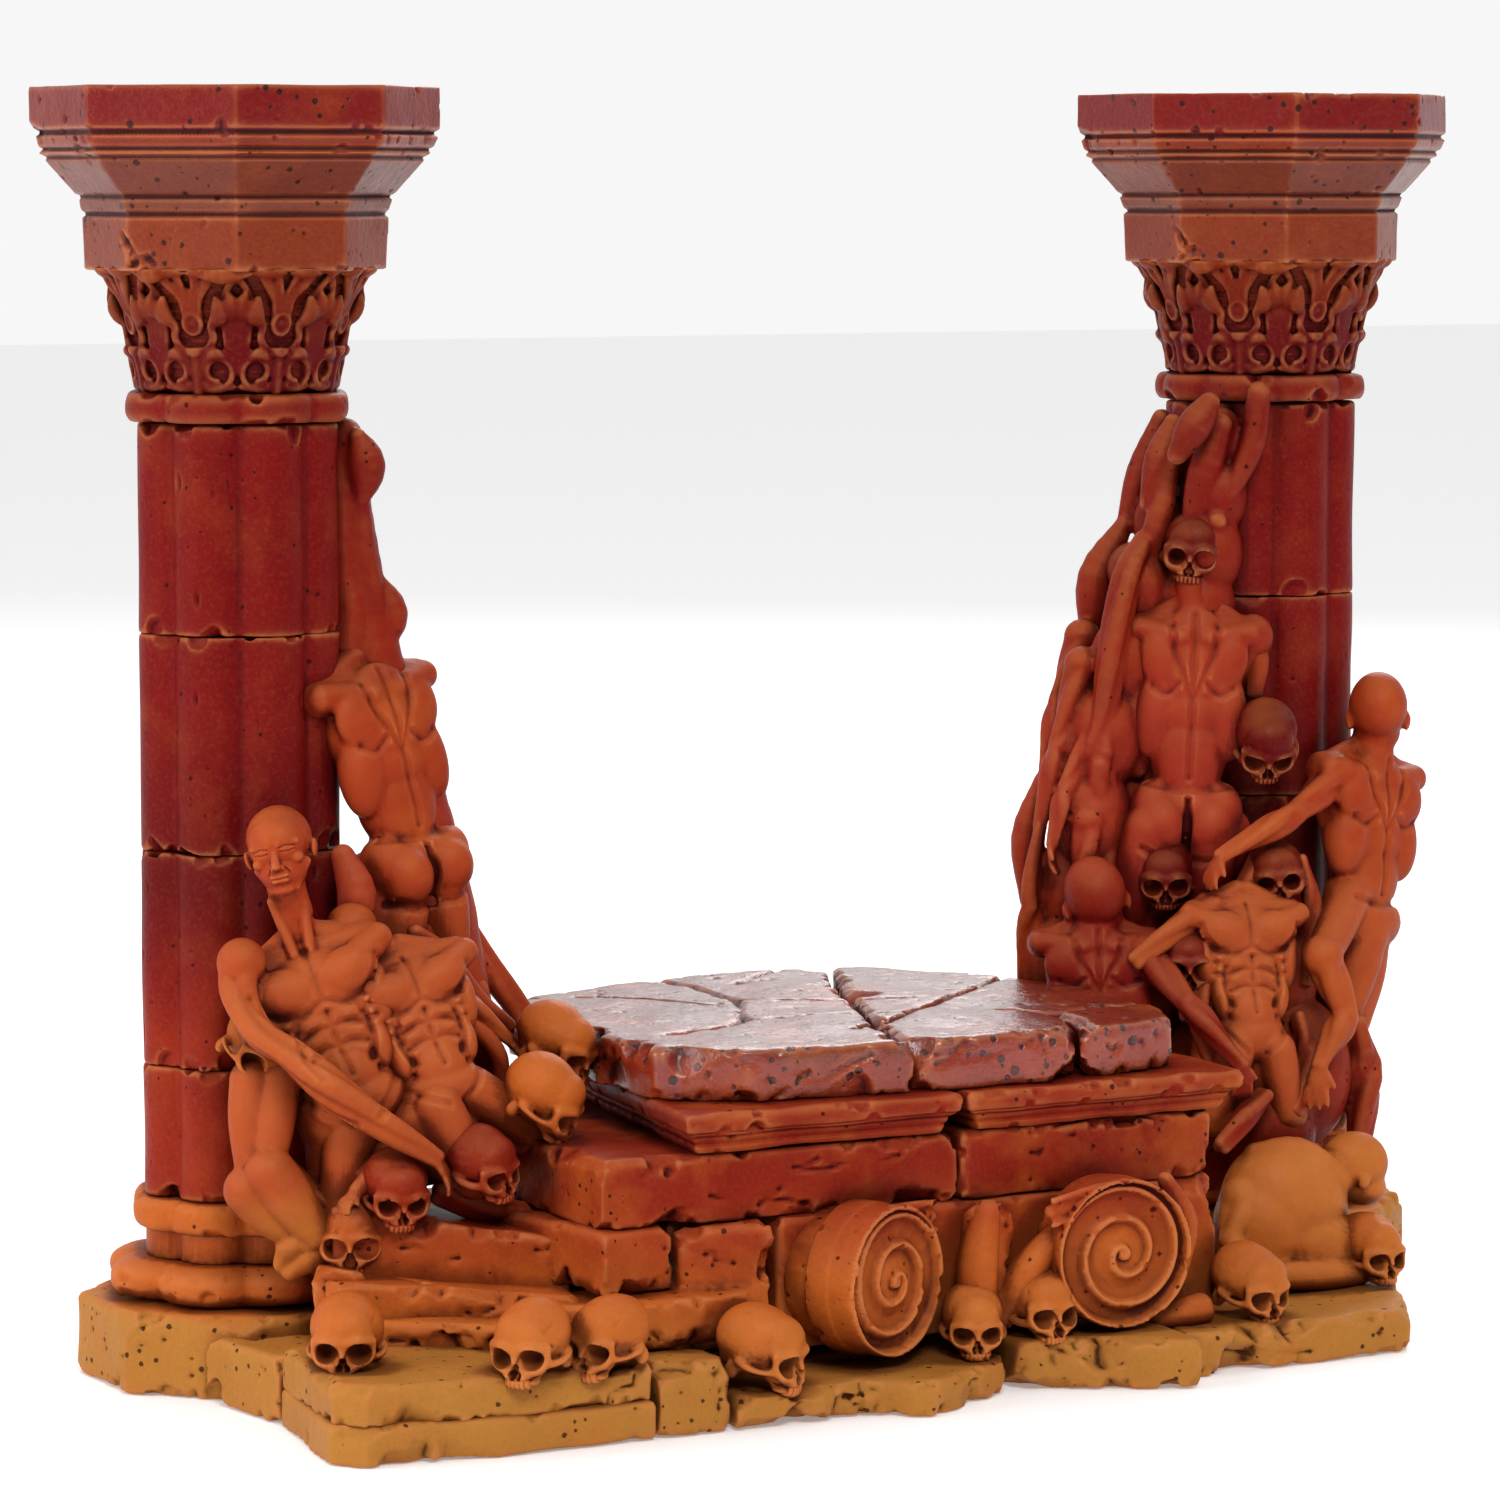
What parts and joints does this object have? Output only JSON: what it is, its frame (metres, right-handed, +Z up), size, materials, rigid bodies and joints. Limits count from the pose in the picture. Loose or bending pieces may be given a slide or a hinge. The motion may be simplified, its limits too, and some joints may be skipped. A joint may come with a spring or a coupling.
{
  "type": "miniature terrain gateway",
  "caption": "Ruined gateway for tabletop miniatures: two tall columns with clinging figures either side of a cracked stone slab on stepped blocks.",
  "frame": {"origin": "on the floor, under the middle of the overall box", "axes": "+X from the left column to the right column, -Y the front with the scrolls, +Z up"},
  "size_m": [0.1846, 0.085, 0.15],
  "materials": {
    "ochre_stone": "painted, semi-matt, ochre stone with dark wash in the joints",
    "orange_stone": "painted, semi-matt, burnt orange stone",
    "red_stone": "painted, satin, dark red stone with pits and pale edges",
    "crimson_leaves": "painted, satin, crimson",
    "orange_bone": "painted, satin, orange bone with dark sockets",
    "orange_figures": "painted, satin, orange skin tones with dark wash",
    "red_figures": "painted, satin, red to crimson"
  },
  "bodies": {
    "root": {"altar_core": "orange_stone", "base_collar_left": "orange_stone", "base_collar_right": "orange_stone", "base_cushion_left": "ochre_stone", "base_cushion_right": "ochre_stone", "capital_left": "crimson_leaves", "capital_right": "crimson_leaves", "corner_stone": "ochre_stone", "cornice_left": "red_stone", "cornice_right": "red_stone", "course_left": "orange_stone", "course_right": "orange_stone", "drapery_left": "red_figures", "drapery_right": "red_figures", "far_paver": "ochre_stone", "figure_back_left": "red_figures", "figure_back_right": "red_figures", "figure_hunched": "orange_figures", "figure_kneeling": "red_figures", "figure_reaching": "orange_figures", "figure_reclining": "orange_figures", "figure_torso_left": "orange_figures", "figure_torso_right": "orange_figures", "foot_stone": "ochre_stone", "front_block": "ochre_stone", "ground_slab": "ochre_stone", "leaning_stone": "ochre_stone", "moulding_left": "orange_stone", "moulding_right": "orange_stone", "necking_ring_left": "red_stone", "necking_ring_right": "red_stone", "plinth_left": "ochre_stone", "plinth_right": "ochre_stone", "right_paver": "ochre_stone", "rubble_stack": "ochre_stone", "shaft_drum_1_left": "red_stone", "shaft_drum_1_right": "red_stone", "shaft_drum_2_left": "red_stone", "shaft_drum_2_right": "red_stone", "shaft_drum_3_left": "red_stone", "shaft_drum_3_right": "red_stone", "shaft_drum_4_left": "red_stone", "shaft_drum_4_right": "red_stone", "skull_corner": "orange_bone", "skull_cracked": "orange_bone", "skull_front_left": "orange_bone", "skull_front_right": "orange_bone", "skull_right": "orange_bone", "skull_side": "orange_bone", "skull_step": "orange_bone", "skull_volute": "orange_bone", "slab_corner": "red_stone", "slab_left": "red_stone", "slab_right": "red_stone", "step_low": "orange_stone", "step_one": "orange_stone", "step_wedge": "orange_stone", "tip_paver": "ochre_stone", "volute_left": "orange_stone", "volute_right": "orange_stone"}
  },
  "joints": []
}
